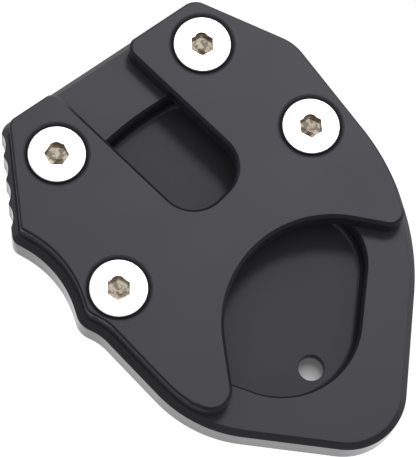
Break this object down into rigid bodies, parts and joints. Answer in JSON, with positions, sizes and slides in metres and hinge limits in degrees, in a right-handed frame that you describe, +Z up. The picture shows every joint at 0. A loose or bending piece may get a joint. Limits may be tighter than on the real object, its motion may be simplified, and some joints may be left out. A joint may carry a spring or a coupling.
{
  "type": "side stand foot enlarger",
  "caption": "Motorcycle side stand foot enlarger: a pocketed base plate and a slotted clamp plate held together by countersunk screws.",
  "frame": {"origin": "middle of the plan, on the underside of the base plate", "axes": "+Z up out of the clamp plate, +Y towards the end that the stand's leg leaves by, +X towards the long bowed side"},
  "size_m": [0.0851, 0.0956, 0.0141],
  "materials": {
    "base_plate": "fine satin, black anodised",
    "clamp_plate": "fine satin, black anodised",
    "screws": "bright nickel plated, turned heads"
  },
  "bodies": {
    "root": {"base_plate": "base_plate", "clamp_plate": "clamp_plate", "screws": "screws"}
  },
  "joints": []
}
